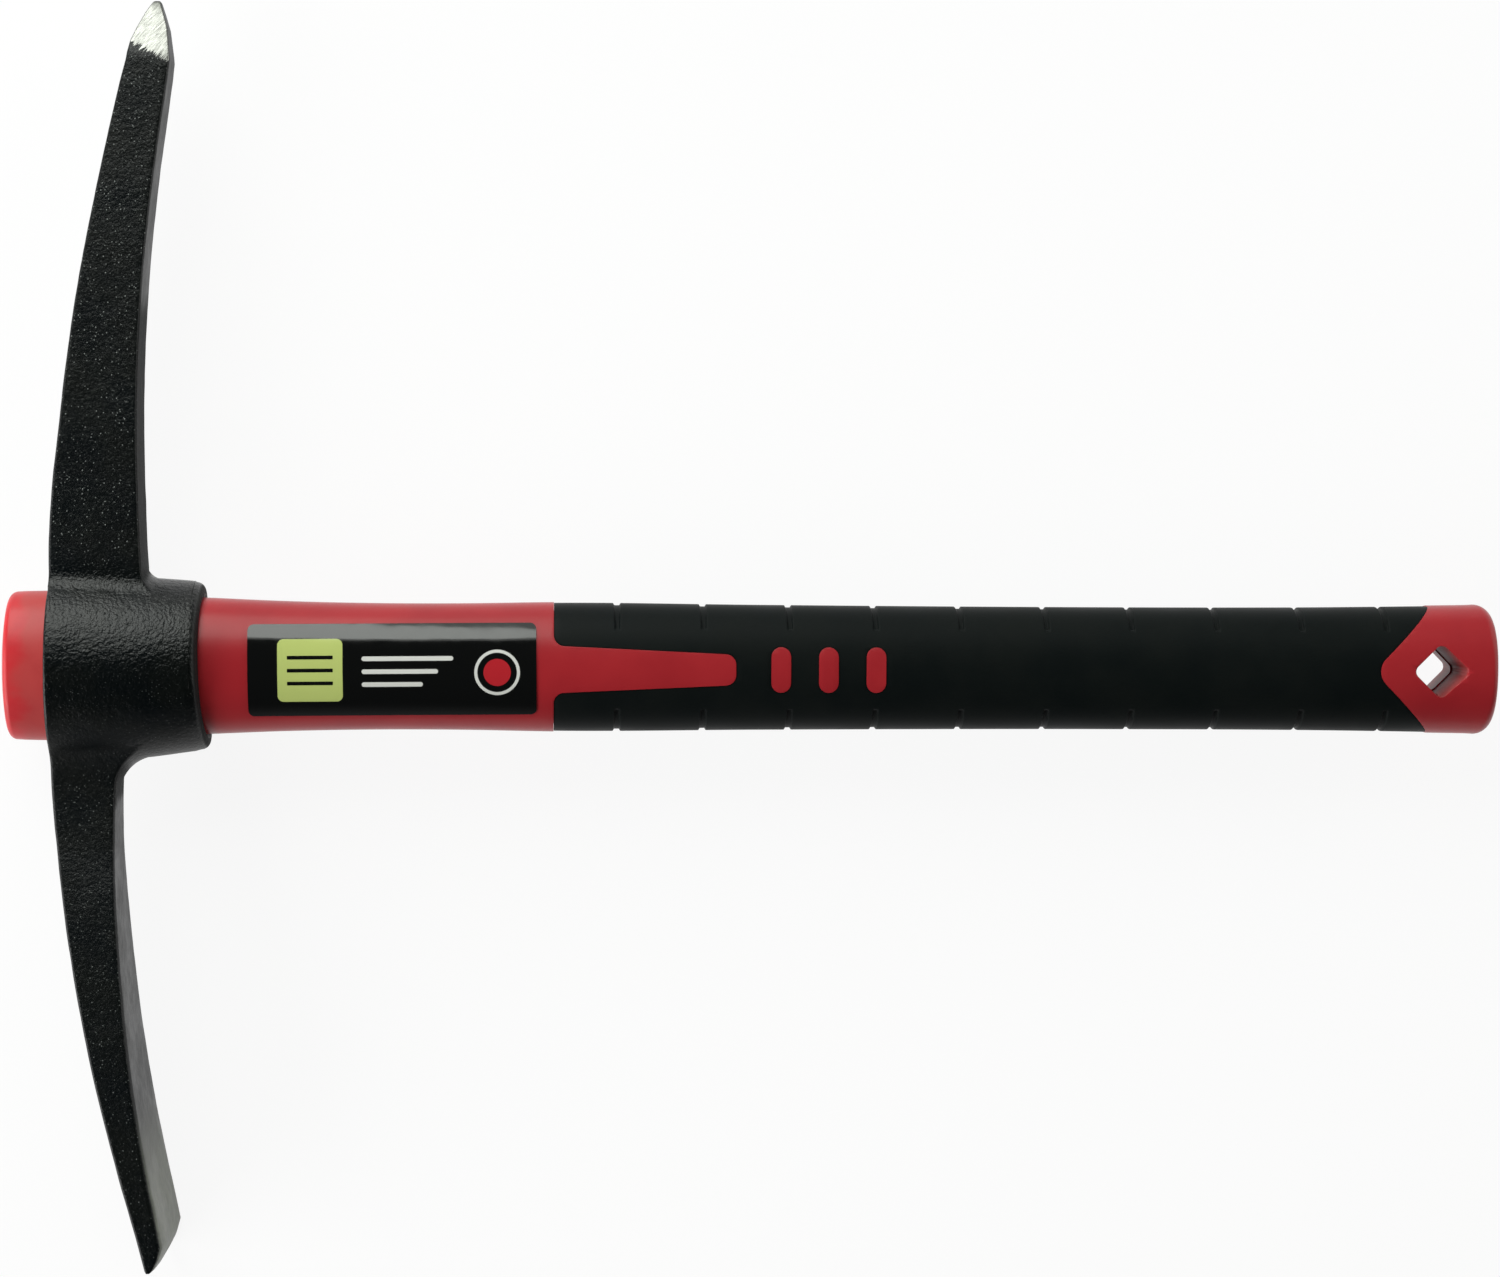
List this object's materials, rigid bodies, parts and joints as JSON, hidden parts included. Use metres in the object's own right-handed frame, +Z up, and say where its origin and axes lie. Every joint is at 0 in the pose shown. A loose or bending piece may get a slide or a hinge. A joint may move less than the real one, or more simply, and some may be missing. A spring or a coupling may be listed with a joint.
{
  "type": "pick hammer",
  "caption": "Mason's pick hammer: a forged pick-and-adze head that slips over a glass-fibre-cored plastic handle with a rubber grip and seats on its flared boss.",
  "frame": {"origin": "on the ground under the middle of the tool's bounding box, with the tool lying on its side", "axes": "+X runs along the handle from its boss to its butt, +Y points up the pick arm and +Z up, away from the ground"},
  "size_m": [0.3999, 0.335, 0.0443],
  "materials": {
    "forged_black": "rough black coating on forged steel, ground bright at the pick's point",
    "red_plastic": "satin moulded plastic",
    "black_rubber": "matt overmoulded elastomer",
    "fibreglass": "pultruded glass fibre, plain",
    "sticker": "glossy film sticker"
  },
  "bodies": {
    "handle": {"handle_body": "red_plastic", "rubber_grip": "black_rubber", "fibreglass_core": "fibreglass", "label": "sticker"},
    "head": {"pick_head": "forged_black"}
  },
  "joints": [
    {"name": "head_slide", "type": "slide", "parent": "handle", "child": "head", "axis": [1, 0, 0], "range_m": [0, 0.346]}
  ]
}
